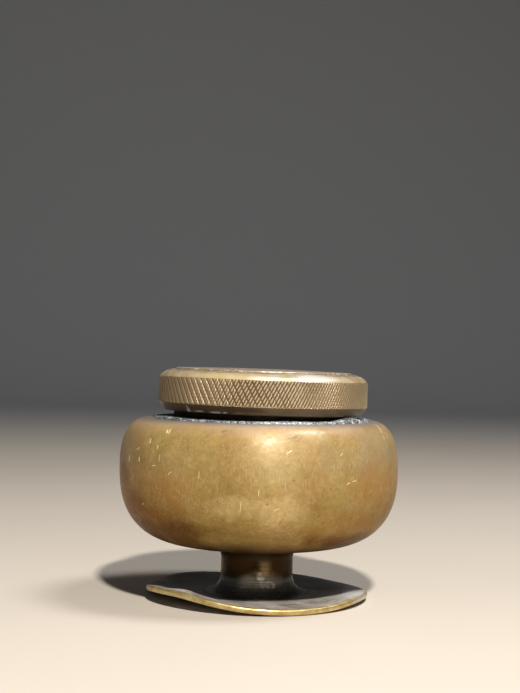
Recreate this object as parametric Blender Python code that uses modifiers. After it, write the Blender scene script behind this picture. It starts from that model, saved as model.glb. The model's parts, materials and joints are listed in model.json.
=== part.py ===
"""A squat brass desk pot with a knurled screw lid, on a short stem and a bent round foot.

The pot's axis is +Z and the foot stands on the plane z = 0, with the front of the pot towards -Y.
The neck sits slightly off the pot's axis and leans a little towards +X, so the lid, the washer and
the glass cup are all placed on an empty that stands on the neck's own axis.
"""

from math import atan2, cos, degrees, exp, pi, radians, sin, tau

import bmesh
import bpy

# Facets
FACETS = 48                      # segments round the large turned pieces
SMALL_FACETS = 32                # segments round the small ones
MERGE = 1e-6                     # merge distance for seams and points on an axis
GAP = 0.0003                     # left between pieces that touch
OVERSHOOT = 0.0005               # how far a cutter runs past the face that it cuts

# Bowl: a turned shell with a flat top and a flat floor
BOWL_RADIUS = 0.0298
BOWL_BELLY_Z = 0.0286            # height of the widest part
BOWL_TOP_Z = 0.03805
BOWL_FLOOR_Z = 0.0113
BOWL_TOP_FLAT_RADIUS = 0.0243
BOWL_FLOOR_FLAT_RADIUS = 0.0118
BOWL_SHOULDER_POWER = 2.15       # superellipse exponents above and below the belly
BOWL_BASE_POWER = 2.67
BOWL_WALL = 0.0013
BOWL_MOUTH_RADIUS = 0.0198
BOWL_OUTER_STEPS = 8             # points along each quarter of the outside
BOWL_INNER_STEPS = 5

# Neck: a threaded collar soldered into the mouth
NECK_OFFSET_X = 0.0005
NECK_TILT = radians(1.0)         # lean towards +X
NECK_RADIUS = 0.01895            # thread root
NECK_BORE_RADIUS = 0.0173
NECK_FOOT_Z = -0.002             # heights on the neck's axis count from the bowl's top
NECK_TOP_Z = 0.0055
NECK_CHAMFER = 0.0003

# Screw thread shared by the neck and the lid
THREAD_PITCH = 0.0015
THREAD_HEIGHT = 0.00075
THREAD_BASE_WIDTH = 0.00075
THREAD_CREST_WIDTH = 0.0003
THREAD_CLEARANCE = 0.0002        # radial, between each crest and the other piece's root
THREAD_ROOTED = 0.0004           # how deep the ridge is sunk into its wall
THREAD_RUN_OUT = 8               # facets over which each end of the ridge fades
NECK_THREAD_START_Z = 0.0017
NECK_THREAD_TURNS = 2.3
LID_THREAD_START_Z = NECK_THREAD_START_Z + THREAD_PITCH / 2
LID_THREAD_TURNS = 2.3

# Solder bead round the neck
SOLDER_INNER_RADIUS = 0.0193
SOLDER_OUTER_RADIUS = 0.0233
SOLDER_HEIGHT = 0.0003
SOLDER_CHAMFER = 0.00012

# Lid, on the neck's axis
LID_RADIUS = 0.0224
LID_SKIRT_Z = 0.0015
LID_SKIRT_CHAMFER = 0.0014
LID_BAND_BOTTOM_Z = 0.0033
LID_BAND_TOP_Z = 0.00845
LID_BEVEL_RADIUS = 0.02075
LID_BEVEL_Z = 0.00985
LID_SHOULDER_RADIUS = 0.0194
LID_SHOULDER_Z = 0.0102
LID_RECESS_RADIUS = 0.0192
LID_RECESS_Z = 0.0093
LID_ROOF = 0.0009
LID_BORE_RADIUS = NECK_RADIUS + THREAD_HEIGHT + THREAD_CLEARANCE
LID_ENTRY_CHAMFER = 0.0003
DISC_RADIUS = 0.0189
DISC_THICKNESS = 0.0009
DISC_CHAMFER = 0.0003
DISC_CROWN = 0.0003              # how far the middle stands above the edge
DISC_CROWN_STEPS = 5

# Washer under the lid's roof
WASHER_THICKNESS = 0.001
WASHER_OUTER_RADIUS = 0.0192
WASHER_INNER_RADIUS = 0.0140

# Glass cup that hangs in the neck by its flange
CUP_RADIUS = 0.0169
CUP_WALL = 0.0016
CUP_FLOOR = 0.0022
CUP_FLANGE_RADIUS = 0.0186
CUP_FLANGE = 0.001
CUP_DEPTH = 0.0208               # from the bowl's top plane to the underside of the cup
CUP_CORNER_RADIUS = 0.003
CUP_CORNER_STEPS = 3

# Stem: a turned column that flares into the foot
STEM_RADIUS = 0.0077
STEM_TOP_FILLET = 0.0005
STEM_FLARE_WIDTH = 0.0028         # quarter ellipse at the foot
STEM_FLARE_HEIGHT = 0.0032
STEM_FILLET_STEPS = 5
SPIGOT_RADIUS = 0.0027           # passes up through the bowl's floor
SPIGOT_TOP_Z = 0.0165
STEM_BORE_RADIUS = 0.0023        # takes the foot screw
STEM_BORE_DEPTH = 0.0065

# Foot: a sheet disc, flat in the middle, its rim bent into waves
FOOT_RADIUS = 0.024
FOOT_OFFSET_X = -0.0002
FOOT_SHEET = 0.0013
FOOT_FLAT_RADIUS = 0.013
FOOT_RINGS = 6
FOOT_EDGE_BEVEL = 0.0003
FOOT_WAVES = (                   # direction and half-width in degrees, height in metres
    (-137.0, 36.0, 0.00235),
    (-165.0, 18.0, 0.0005),
    (-22.0, 26.0, 0.0009),
    (70.0, 16.0, 0.00035),
    (133.0, 26.0, 0.0009),
)
FOOT_FLATS = (                   # direction and half-width in degrees, depth in metres
    (36.0, 18.0, 0.0007),
)

# Screw, nut and washer that hold bowl, stem and foot together
SCREW_HEAD_RADIUS = 0.0032
SCREW_SHANK_RADIUS = 0.002
SCREW_RECESS = 0.00015           # head's depth above the plane that the foot stands on
SCREW_TIP_Z = 0.0075
SCREW_SLOT_WIDTH = 0.0008
SCREW_SLOT_DEPTH = 0.0005
NUT_WASHER_RADIUS = 0.0062
NUT_WASHER_THICKNESS = 0.0008
NUT_ACROSS_FLATS = 0.0085
NUT_THICKNESS = 0.0022
NUT_BORE_RADIUS = SPIGOT_RADIUS + GAP
NUT_SIDES = 6


# ---------------------------------------------------------------- scene helpers

def clear_scene():
    for obj in list(bpy.data.objects):
        bpy.data.objects.remove(obj, do_unlink=True)


def new_collection(name):
    made = bpy.data.collections.new(name)
    bpy.context.scene.collection.children.link(made)
    return made


def metal_or_soft(name, color, metallic, roughness, alpha=1.0):
    """A Principled material with one colour."""
    made = bpy.data.materials.new(name)
    made.use_nodes = True
    shader = made.node_tree.nodes["Principled BSDF"]
    shader.inputs["Base Color"].default_value = (*color, 1.0)
    shader.inputs["Metallic"].default_value = metallic
    shader.inputs["Roughness"].default_value = roughness
    shader.inputs["Alpha"].default_value = alpha
    return made


def new_object(name, mesh, home, parent=None, material=None):
    made = bpy.data.objects.new(name, mesh)
    home.objects.link(made)
    made.parent = parent
    if material:
        mesh.materials.append(material)
    return made


def as_cutter(obj):
    obj.hide_render = True
    obj.display_type = "WIRE"
    return obj


def turned(name, profile, home, parent=None, material=None, facets=FACETS, closed=False):
    """A profile of (radius, height) points, outer side running down, turned about Z."""
    mesh = bpy.data.meshes.new(name)
    edges = [(i, i + 1) for i in range(len(profile) - 1)]
    if closed:
        edges.append((len(profile) - 1, 0))
    mesh.from_pydata([(r, 0.0, z) for r, z in profile], edges, [])
    made = new_object(name, mesh, home, parent, material)
    screw = made.modifiers.new("Turn", "SCREW")
    screw.axis = "Z"
    screw.angle = tau
    screw.steps = facets
    screw.render_steps = facets
    screw.use_merge_vertices = True
    screw.merge_threshold = MERGE
    return made


def boolean(obj, other, operation):
    cut = obj.modifiers.new(operation.title(), "BOOLEAN")
    cut.operation = operation
    cut.object = other
    cut.solver = "EXACT"


def skinned(name, sections, home, parent=None):
    """A closed tube through a list of equal point loops, capped at both ends."""
    mesh = bpy.data.meshes.new(name)
    bm = bmesh.new()
    rings = [[bm.verts.new(point) for point in section] for section in sections]
    for ring, after in zip(rings, rings[1:]):
        for i, corner in enumerate(ring):
            j = (i + 1) % len(ring)
            bm.faces.new((corner, ring[j], after[j], after[i]))
    bm.faces.new(list(reversed(rings[0])))
    bm.faces.new(rings[-1])
    bmesh.ops.recalc_face_normals(bm, faces=bm.faces)
    bm.to_mesh(mesh)
    bm.free()
    return new_object(name, mesh, home, parent)


# ---------------------------------------------------------------- shape rules

def fillet(center_r, center_z, width, height, start, end, steps):
    """Points of an elliptical arc in the profile plane, from one angle to another, in degrees."""
    turn = [radians(start + (end - start) * i / steps) for i in range(steps + 1)]
    return [(center_r + width * cos(a), center_z + height * sin(a)) for a in turn]


def superellipse_quarter(flat_radius, widest, height, power, steps):
    """Points from the widest radius at height zero to the flat radius at full height."""
    points = []
    for i in range(steps + 1):
        angle = pi / 2 * i / steps
        radius = flat_radius + (widest - flat_radius) * cos(angle) ** (2 / power)
        points.append((radius, height * max(sin(angle), 0.0) ** (2 / power)))
    return points


def bowl_side(inset, steps):
    """The bowl's side from its top flat to its floor flat, moved in by a wall thickness."""
    widest = BOWL_RADIUS - inset
    rise = BOWL_TOP_Z - BOWL_BELLY_Z - inset
    drop = BOWL_BELLY_Z - BOWL_FLOOR_Z - inset
    upper = superellipse_quarter(BOWL_TOP_FLAT_RADIUS, widest, rise, BOWL_SHOULDER_POWER, steps)
    lower = superellipse_quarter(BOWL_FLOOR_FLAT_RADIUS, widest, drop, BOWL_BASE_POWER, steps)
    side = [(r, BOWL_BELLY_Z + z) for r, z in reversed(upper)]
    return side + [(r, BOWL_BELLY_Z - z) for r, z in lower[1:]]


def bump(angle, direction, half_width):
    """A smooth hill of height one round the rim, centred on a direction, in degrees."""
    away = (angle - direction + 180.0) % 360.0 - 180.0
    return exp(-(away / half_width) ** 2)


def rim_lift(angle):
    return sum(height * bump(angle, at, width) for at, width, height in FOOT_WAVES)


def rim_radius(angle):
    return FOOT_RADIUS - sum(depth * bump(angle, at, width) for at, width, depth in FOOT_FLATS)


def thread_sections(wall_radius, outward, start_z, turns):
    """Cross-sections of a helical ridge on a wall, fading to nothing at both ends."""
    count = round(turns * FACETS)
    side = 1 if outward else -1
    sections = []
    for i in range(count + 1):
        angle = tau * i / FACETS
        z = start_z + THREAD_PITCH * i / FACETS
        share = min(1.0, (i + 0.5) / THREAD_RUN_OUT, (count - i + 0.5) / THREAD_RUN_OUT)
        root = wall_radius - side * THREAD_ROOTED
        crest = wall_radius + side * (THREAD_HEIGHT * share - THREAD_ROOTED / 2 * (1 - share))
        corners = (
            (root, z - THREAD_BASE_WIDTH / 2),
            (crest, z - THREAD_CREST_WIDTH / 2),
            (crest, z + THREAD_CREST_WIDTH / 2),
            (root, z + THREAD_BASE_WIDTH / 2),
        )
        sections.append([(r * cos(angle), r * sin(angle), height) for r, height in corners])
    return sections


# ---------------------------------------------------------------- pieces of the pot

def build_bowl(parts, brass):
    outer = bowl_side(0.0, BOWL_OUTER_STEPS)
    inner = bowl_side(BOWL_WALL, BOWL_INNER_STEPS)
    hole = SPIGOT_RADIUS + GAP
    profile = [(BOWL_MOUTH_RADIUS, BOWL_TOP_Z)] + outer
    profile += [(hole, BOWL_FLOOR_Z), (hole, BOWL_FLOOR_Z + BOWL_WALL)]
    profile += list(reversed(inner)) + [(BOWL_MOUTH_RADIUS, BOWL_TOP_Z - BOWL_WALL)]
    turned("bowl", profile, parts, material=brass, closed=True)


def build_neck(parts, cutters, neck_axis, brass):
    profile = [
        (NECK_BORE_RADIUS, NECK_TOP_Z),
        (NECK_RADIUS - NECK_CHAMFER, NECK_TOP_Z),
        (NECK_RADIUS, NECK_TOP_Z - NECK_CHAMFER),
        (NECK_RADIUS, NECK_FOOT_Z),
        (NECK_BORE_RADIUS, NECK_FOOT_Z),
    ]
    neck = turned("neck_collar", profile, parts, neck_axis, brass, closed=True)
    sections = thread_sections(NECK_RADIUS, True, NECK_THREAD_START_Z, NECK_THREAD_TURNS)
    ridge = as_cutter(skinned("neck_ridge", sections, cutters, neck_axis))
    boolean(neck, ridge, "UNION")


def build_solder(parts, grey):
    bottom = BOWL_TOP_Z + GAP
    top = bottom + SOLDER_HEIGHT
    profile = [
        (SOLDER_INNER_RADIUS, top),
        (SOLDER_OUTER_RADIUS - SOLDER_CHAMFER, top),
        (SOLDER_OUTER_RADIUS, top - SOLDER_CHAMFER),
        (SOLDER_OUTER_RADIUS, bottom),
        (SOLDER_INNER_RADIUS, bottom),
    ]
    bead = turned("neck_solder", profile, parts, material=grey, closed=True)
    bead.location.x = NECK_OFFSET_X


def build_cup(parts, neck_axis, glass):
    flange_bottom = NECK_TOP_Z + GAP
    flange_top = flange_bottom + CUP_FLANGE
    inside = CUP_RADIUS - CUP_WALL
    bottom = -CUP_DEPTH
    floor = bottom + CUP_FLOOR
    inner_round = CUP_CORNER_RADIUS - CUP_WALL / 2
    profile = [(0.0, floor)]
    profile += fillet(
        inside - inner_round, floor + inner_round, inner_round, inner_round,
        -90, 0, CUP_CORNER_STEPS,
    )
    profile += [(inside, flange_top), (CUP_FLANGE_RADIUS, flange_top)]
    profile += [(CUP_FLANGE_RADIUS, flange_bottom), (CUP_RADIUS, flange_bottom)]
    profile += fillet(
        CUP_RADIUS - CUP_CORNER_RADIUS, bottom + CUP_CORNER_RADIUS,
        CUP_CORNER_RADIUS, CUP_CORNER_RADIUS, 0, -90, CUP_CORNER_STEPS,
    )
    profile += [(0.0, bottom)]
    turned("glass_cup", profile, parts, neck_axis, glass)


def build_stem(parts, brass):
    bottom = FOOT_SHEET + GAP
    top = BOWL_FLOOR_Z - GAP
    profile = [(0.0, SPIGOT_TOP_Z), (SPIGOT_RADIUS, SPIGOT_TOP_Z), (SPIGOT_RADIUS, top)]
    profile += fillet(
        STEM_RADIUS + STEM_TOP_FILLET, top - STEM_TOP_FILLET,
        STEM_TOP_FILLET, STEM_TOP_FILLET, 90, 180, STEM_FILLET_STEPS,
    )
    profile += fillet(
        STEM_RADIUS + STEM_FLARE_WIDTH, bottom + STEM_FLARE_HEIGHT,
        STEM_FLARE_WIDTH, STEM_FLARE_HEIGHT, 180, 270, STEM_FILLET_STEPS,
    )
    profile += [(STEM_BORE_RADIUS, bottom), (STEM_BORE_RADIUS, bottom + STEM_BORE_DEPTH)]
    profile += [(0.0, bottom + STEM_BORE_DEPTH)]
    turned("stem", profile, parts, material=brass, facets=SMALL_FACETS)


def build_foot(parts, cutters, brass):
    """The sheet disc is turned flat, then its rim is lifted and drawn in by the wave rules."""
    step = FOOT_RADIUS / FOOT_RINGS
    profile = [(step * i, 0.0) for i in range(FOOT_RINGS + 1)]
    flat = turned("flat_disc", profile, cutters)
    evaluated = flat.evaluated_get(bpy.context.evaluated_depsgraph_get())
    mesh = bpy.data.meshes.new_from_object(evaluated)
    bpy.data.objects.remove(flat, do_unlink=True)
    for vertex in mesh.vertices:
        radius = (vertex.co.x ** 2 + vertex.co.y ** 2) ** 0.5
        if radius < step / 2:
            continue
        angle = degrees(atan2(vertex.co.y, vertex.co.x))
        share = max(0.0, (radius - FOOT_FLAT_RADIUS) / (FOOT_RADIUS - FOOT_FLAT_RADIUS))
        pull = 1.0 + share * (rim_radius(angle) / FOOT_RADIUS - 1.0)
        vertex.co.x *= pull
        vertex.co.y *= pull
        vertex.co.z = rim_lift(angle) * share ** 2 * (3 - 2 * share)
    foot = new_object("foot_plate", mesh, parts, material=brass)
    foot.location.x = FOOT_OFFSET_X
    sheet = foot.modifiers.new("Sheet", "SOLIDIFY")
    sheet.thickness = FOOT_SHEET
    sheet.offset = 1.0
    edge = foot.modifiers.new("Edge", "BEVEL")
    edge.width = FOOT_EDGE_BEVEL
    edge.segments = 1
    edge.limit_method = "ANGLE"
    edge.angle_limit = radians(50.0)
    slope = (SCREW_HEAD_RADIUS - SCREW_SHANK_RADIUS) / (FOOT_SHEET - SCREW_RECESS)
    narrow = SCREW_SHANK_RADIUS + GAP - slope * OVERSHOOT
    wide = SCREW_HEAD_RADIUS + GAP + slope * OVERSHOOT
    cone = [
        (0.0, FOOT_SHEET + OVERSHOOT),
        (narrow, FOOT_SHEET + OVERSHOOT),
        (wide, -OVERSHOOT),
        (0.0, -OVERSHOOT),
    ]
    countersink = as_cutter(turned("foot_countersink", cone, cutters, facets=SMALL_FACETS))
    boolean(foot, countersink, "DIFFERENCE")


def build_foot_screw(parts, cutters, steel):
    cone_top = FOOT_SHEET
    profile = [
        (0.0, SCREW_TIP_Z),
        (SCREW_SHANK_RADIUS, SCREW_TIP_Z),
        (SCREW_SHANK_RADIUS, cone_top),
        (SCREW_HEAD_RADIUS, SCREW_RECESS),
        (0.0, SCREW_RECESS),
    ]
    screw = turned("foot_screw", profile, parts, material=steel, facets=SMALL_FACETS)
    mesh = bpy.data.meshes.new("screw_slot")
    bm = bmesh.new()
    bmesh.ops.create_cube(bm, size=1.0)
    size = (3 * SCREW_HEAD_RADIUS, SCREW_SLOT_WIDTH, 2 * SCREW_SLOT_DEPTH)
    bmesh.ops.scale(bm, vec=size, verts=bm.verts)
    bm.to_mesh(mesh)
    bm.free()
    slot = as_cutter(new_object("screw_slot", mesh, cutters))
    slot.location.z = SCREW_RECESS
    boolean(screw, slot, "DIFFERENCE")


def build_nut_and_washer(parts, cutters, brass, steel):
    washer_bottom = BOWL_FLOOR_Z + BOWL_WALL + GAP
    washer_top = washer_bottom + NUT_WASHER_THICKNESS
    washer = [
        (NUT_BORE_RADIUS, washer_top),
        (NUT_WASHER_RADIUS, washer_top),
        (NUT_WASHER_RADIUS, washer_bottom),
        (NUT_BORE_RADIUS, washer_bottom),
    ]
    turned("nut_washer", washer, parts, material=brass, facets=SMALL_FACETS, closed=True)
    nut_bottom = washer_top + GAP
    corner = NUT_ACROSS_FLATS / 2 / cos(pi / NUT_SIDES)
    hexagon = [(0.0, NUT_THICKNESS), (corner, NUT_THICKNESS), (corner, 0.0), (0.0, 0.0)]
    nut = turned("stem_nut", hexagon, parts, material=steel, facets=NUT_SIDES)
    nut.location.z = nut_bottom
    bore_top = nut_bottom + NUT_THICKNESS + OVERSHOOT
    bore_bottom = nut_bottom - OVERSHOOT
    bore = [
        (0.0, bore_top),
        (NUT_BORE_RADIUS, bore_top),
        (NUT_BORE_RADIUS, bore_bottom),
        (0.0, bore_bottom),
    ]
    cutter = as_cutter(turned("nut_bore", bore, cutters, facets=SMALL_FACETS))
    boolean(nut, cutter, "DIFFERENCE")


# ---------------------------------------------------------------- pieces of the lid

def build_lid(parts, cutters, neck_axis, brass):
    roof_underside = LID_RECESS_Z - LID_ROOF
    entry = LID_BORE_RADIUS + LID_ENTRY_CHAMFER
    profile = [
        (0.0, LID_RECESS_Z),
        (LID_RECESS_RADIUS, LID_RECESS_Z),
        (LID_RECESS_RADIUS, LID_SHOULDER_Z),
        (LID_SHOULDER_RADIUS, LID_SHOULDER_Z),
        (LID_BEVEL_RADIUS, LID_BEVEL_Z),
        (LID_RADIUS, LID_BAND_TOP_Z),
        (LID_RADIUS, LID_BAND_BOTTOM_Z),
        (LID_RADIUS - LID_SKIRT_CHAMFER, LID_SKIRT_Z),
        (entry, LID_SKIRT_Z),
        (LID_BORE_RADIUS, LID_SKIRT_Z + LID_ENTRY_CHAMFER),
        (LID_BORE_RADIUS, roof_underside),
        (0.0, roof_underside),
    ]
    cap = turned("lid_cap", profile, parts, neck_axis, brass)
    sections = thread_sections(LID_BORE_RADIUS, False, LID_THREAD_START_Z, LID_THREAD_TURNS)
    ridge = as_cutter(skinned("lid_ridge", sections, cutters, neck_axis))
    boolean(cap, ridge, "UNION")


def build_lid_disc(parts, neck_axis, brass):
    bottom = LID_RECESS_Z + GAP
    top = bottom + DISC_THICKNESS
    edge = DISC_RADIUS - DISC_CHAMFER
    shares = [i / DISC_CROWN_STEPS for i in range(DISC_CROWN_STEPS + 1)]
    profile = [(edge * share, top + DISC_CROWN * (1 - share ** 2)) for share in shares]
    profile += [
        (DISC_RADIUS, top - DISC_CHAMFER),
        (DISC_RADIUS, bottom),
        (0.0, bottom),
    ]
    turned("lid_disc", profile, parts, neck_axis, brass)


def build_lid_washer(parts, neck_axis, leather):
    top = LID_RECESS_Z - LID_ROOF - GAP
    bottom = top - WASHER_THICKNESS
    profile = [
        (WASHER_INNER_RADIUS, top),
        (WASHER_OUTER_RADIUS, top),
        (WASHER_OUTER_RADIUS, bottom),
        (WASHER_INNER_RADIUS, bottom),
    ]
    turned("lid_washer", profile, parts, neck_axis, leather, closed=True)


# ---------------------------------------------------------------- the whole pot

def main():
    clear_scene()
    parts = new_collection("desk_pot")
    cutters = new_collection("cutters")

    aged_brass = metal_or_soft("aged_brass", (0.45, 0.33, 0.13), 0.9, 0.42)
    lid_brass = metal_or_soft("lid_brass", (0.42, 0.30, 0.14), 0.9, 0.45)
    dark_brass = metal_or_soft("dark_brass", (0.12, 0.09, 0.05), 0.8, 0.5)
    solder = metal_or_soft("solder_grey", (0.36, 0.37, 0.37), 0.4, 0.7)
    steel = metal_or_soft("screw_steel", (0.35, 0.34, 0.32), 1.0, 0.45)
    leather = metal_or_soft("leather", (0.10, 0.06, 0.03), 0.0, 0.8)
    glass = metal_or_soft("glass", (0.75, 0.85, 0.80), 0.0, 0.08, alpha=0.35)

    neck_axis = bpy.data.objects.new("neck_axis", None)
    parts.objects.link(neck_axis)
    neck_axis.location = (NECK_OFFSET_X, 0.0, BOWL_TOP_Z)
    neck_axis.rotation_euler = (0.0, NECK_TILT, 0.0)

    build_bowl(parts, aged_brass)
    build_neck(parts, cutters, neck_axis, aged_brass)
    build_solder(parts, solder)
    build_cup(parts, neck_axis, glass)
    build_stem(parts, dark_brass)
    build_foot(parts, cutters, dark_brass)
    build_foot_screw(parts, cutters, steel)
    build_nut_and_washer(parts, cutters, aged_brass, steel)
    build_lid(parts, cutters, neck_axis, lid_brass)
    build_lid_disc(parts, neck_axis, lid_brass)
    build_lid_washer(parts, neck_axis, leather)


main()
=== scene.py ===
"""The aged brass desk pot: its finished surfaces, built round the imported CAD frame.

Each piece is a grid of points turned about an axis, shaped by the rules below, and rides on its
CAD body. Lengths are in metres. The front of the pot faces -Y.
"""

import json
import random
from math import cos, pi, radians, sin, tau

import bmesh
import bpy
import numpy as np
from mathutils import Matrix, Vector, noise


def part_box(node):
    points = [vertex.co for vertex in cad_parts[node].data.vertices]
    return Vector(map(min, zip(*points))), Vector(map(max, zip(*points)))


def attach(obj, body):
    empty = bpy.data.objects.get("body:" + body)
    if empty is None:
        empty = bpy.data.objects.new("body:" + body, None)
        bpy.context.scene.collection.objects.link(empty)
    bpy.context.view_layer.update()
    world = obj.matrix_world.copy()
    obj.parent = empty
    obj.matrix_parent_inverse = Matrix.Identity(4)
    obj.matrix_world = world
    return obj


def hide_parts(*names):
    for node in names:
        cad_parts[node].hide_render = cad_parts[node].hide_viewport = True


MM = 0.001

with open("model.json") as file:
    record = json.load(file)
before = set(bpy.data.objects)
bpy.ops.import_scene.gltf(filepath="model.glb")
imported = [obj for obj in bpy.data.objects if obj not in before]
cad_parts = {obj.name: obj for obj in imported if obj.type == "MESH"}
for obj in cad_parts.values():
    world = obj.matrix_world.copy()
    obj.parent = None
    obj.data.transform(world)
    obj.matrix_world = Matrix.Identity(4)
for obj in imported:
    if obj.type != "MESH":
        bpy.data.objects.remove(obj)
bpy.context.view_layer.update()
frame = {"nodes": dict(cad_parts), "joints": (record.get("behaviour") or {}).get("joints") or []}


# ---------------------------------------- the frame's own places

def neck_axis_matrix():
    """Stands on the lid's joint, with Z along its axis."""
    turn = next(joint for joint in frame["joints"] if joint["name"] == "lid_turn")
    lean = Vector((0, 0, 1)).rotation_difference(Vector(turn["axis"]))
    return Matrix.Translation(turn["pos_m"]) @ lean.to_matrix().to_4x4()


NECK = neck_axis_matrix()
UPRIGHT = Matrix.Identity(4)
BOWL_LOW, BOWL_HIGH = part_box("bowl")
STEM_LOW, STEM_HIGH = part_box("stem")

# Bowl
BOWL_RADIUS = BOWL_HIGH.x
BOWL_TOP_Z = BOWL_HIGH.z
BOWL_FLOOR_Z = BOWL_LOW.z
BOWL_BELLY_Z = 28.6 * MM
BOWL_TOP_FLAT = 24.3 * MM
BOWL_FLOOR_FLAT = 11.8 * MM
BOWL_SHOULDER_POWER = 2.15       # superellipse powers above and below the belly
BOWL_BASE_POWER = 2.67
BOWL_WALL = 1.3 * MM
BOWL_MOUTH = 19.8 * MM
SPIGOT_HOLE = 3.0 * MM
BOWL_DENTS = (                   # direction (degrees), height, depth, half-width
    (-55.0, 35.4 * MM, 0.1 * MM, 3.0 * MM),
    (-150.0, 24.0 * MM, 0.08 * MM, 4.5 * MM),
    (-95.0, 21.0 * MM, 0.05 * MM, 5.0 * MM),
    (-12.0, 30.0 * MM, 0.07 * MM, 4.0 * MM),
    (60.0, 27.0 * MM, 0.09 * MM, 4.5 * MM),
    (140.0, 32.0 * MM, 0.08 * MM, 3.5 * MM),
)

# Neck, thread, solder and cup; heights on the neck's axis count from the bowl's top
GAP = 0.3 * MM
NECK_RADIUS = 18.95 * MM
NECK_BORE = 17.3 * MM
NECK_FOOT_Z = -2.0 * MM
NECK_TOP_Z = 5.5 * MM
NECK_THREAD_Z = 1.7 * MM
THREAD_PITCH = 1.5 * MM
THREAD_HEIGHT = 0.75 * MM
THREAD_BASE = 0.75 * MM
THREAD_CREST = 0.3 * MM
THREAD_TURNS = 2.3
THREAD_RUN_OUT = 1 / 6           # turns over which each end fades
SOLDER_INNER = 19.15 * MM
SOLDER_OUTER = 23.4 * MM
SOLDER_RISE = 0.4 * MM
SOLDER_FLAT = 0.28 * MM          # thickness of the bead's thin edges
SOLDER_BLOBS = (                 # direction and half-width in degrees, extra height
    (-34.0, 10.0, 0.72 * MM),
    (-152.0, 16.0, 0.25 * MM),
    (-75.0, 9.0, 0.15 * MM),
)
CUP_RADIUS = 16.9 * MM
CUP_WALL = 1.6 * MM
CUP_FLOOR = 2.2 * MM
CUP_BOTTOM_Z = -20.8 * MM
CUP_FLANGE_RADIUS = 18.6 * MM
CUP_FLANGE = 1.0 * MM

# Stem and foot
STEM_RADIUS = 7.7 * MM
STEM_FLARE_WIDTH = 3.3 * MM
STEM_FLARE_HEIGHT = 3.6 * MM
STEM_TOP_FILLET = 1.4 * MM
STEM_FILLET_STEP = 0.36 * MM
STEM_TOOL_LINE = 0.016 * MM
STEM_CRUST = 0.16 * MM
STEM_BORE = 2.3 * MM
SPIGOT = 2.7 * MM
FOOT_RADIUS = 24.0 * MM
FOOT_OFFSET_X = -0.2 * MM
FOOT_SHEET = 1.3 * MM
FOOT_FLAT = 13.0 * MM
SCREW_HOLE = 2.2 * MM
COUNTERSINK = 3.55 * MM
FOOT_WAVES = (                   # direction and half-width in degrees, height
    (-137.0, 36.0, 2.35 * MM),
    (-165.0, 18.0, 0.5 * MM),
    (-22.0, 26.0, 0.9 * MM),
    (70.0, 16.0, 0.35 * MM),
    (133.0, 26.0, 0.9 * MM),
)
FOOT_CURL_RADIUS = 21.6 * MM
FOOT_CURL_WIDTH = 1.7 * MM
FOOT_CURLS = (                   # crests inside the rim: direction and half-width, height
    (-131.0, 10.0, 0.55 * MM),
    (-112.0, 14.0, 0.15 * MM),
    (-30.0, 12.0, 0.15 * MM),
    (140.0, 12.0, 0.25 * MM),
    (171.0, 9.0, 0.7 * MM),
)
FOOT_FLATS = (                   # direction and half-width in degrees, depth
    (36.0, 18.0, 0.7 * MM),
    (-174.0, 13.0, 0.5 * MM),
)

# Lid, on the neck's axis
LID_RADIUS = 22.4 * MM
LID_SKIRT_Z = 1.5 * MM
LID_SKIRT_CHAMFER = 1.4 * MM
LID_BAND_BOTTOM_Z = 3.3 * MM
LID_BAND_TOP_Z = 8.45 * MM
LID_BEVEL_RADIUS = 20.75 * MM
LID_BEVEL_Z = 9.85 * MM
LID_SHOULDER_RADIUS = 19.4 * MM
LID_SHOULDER_Z = 10.2 * MM
LID_RECESS_RADIUS = 19.2 * MM
LID_RECESS_Z = 9.3 * MM
LID_ROOF_Z = 8.4 * MM
LID_BORE = 19.9 * MM
NICK_DIRECTION = -135.0          # the nick in the skirt, front left
NICK_DEPTH = 0.28 * MM
NICK_HEIGHT = 1.1 * MM
KNURL_DEPTH = 0.27 * MM
KNURL_LINES = (                  # lines and hand, deepest side, flank slope, mean depth, swing
    (100, -125.0, 1.0, 0.62, 0.38),
    (-200, -84.0, 1.35, 0.5, 0.46),
)
KNURL_HELIX = 28.0               # degrees from the axis
KNURL_END = 0.12 * MM            # how far the knurl runs past the band's corners
LID_GROOVE_RADIUS = 20.25 * MM   # the fine groove turned in the bevel's top
LID_GROOVE = 0.1 * MM
LID_RINGS = (20.45 * MM, 19.75 * MM, 19.05 * MM)
DISC_RADIUS = 18.9 * MM
DISC_THICKNESS = 0.9 * MM
DISC_CROWN = 0.3 * MM
WASHER_OUTER = 19.2 * MM
WASHER_INNER = 14.0 * MM
WASHER_THICKNESS = 1.0 * MM

# Studio
LIT_POINT = Vector((0.0, 0.0, 25.0 * MM))
LIGHTS = (                       # name, azimuth, elevation, distance, size, power, colour
    ("key", 11.0, 46.0, 0.6, 0.035, 5.6, (1.0, 0.96, 0.9)),
    ("window", 88.0, 65.0, 0.7, 0.2, 3.4, (0.97, 0.98, 1.0)),
    ("fill", -30.0, 20.0, 0.9, 0.6, 0.25, (0.95, 0.96, 1.0)),
)
WORLD_COLOR = (0.96, 0.97, 1.0, 1.0)
WORLD_STRENGTH = 0.08
CAMERA_PLACE = Vector((-0.26 * MM, -296.0 * MM, 50.98 * MM))
CAMERA_LENS = 71.5
CAMERA_PITCH = 0.51              # degrees
CAMERA_ROLL = 1.15               # degrees


# ---------------------------------------- grids and meshes

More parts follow.
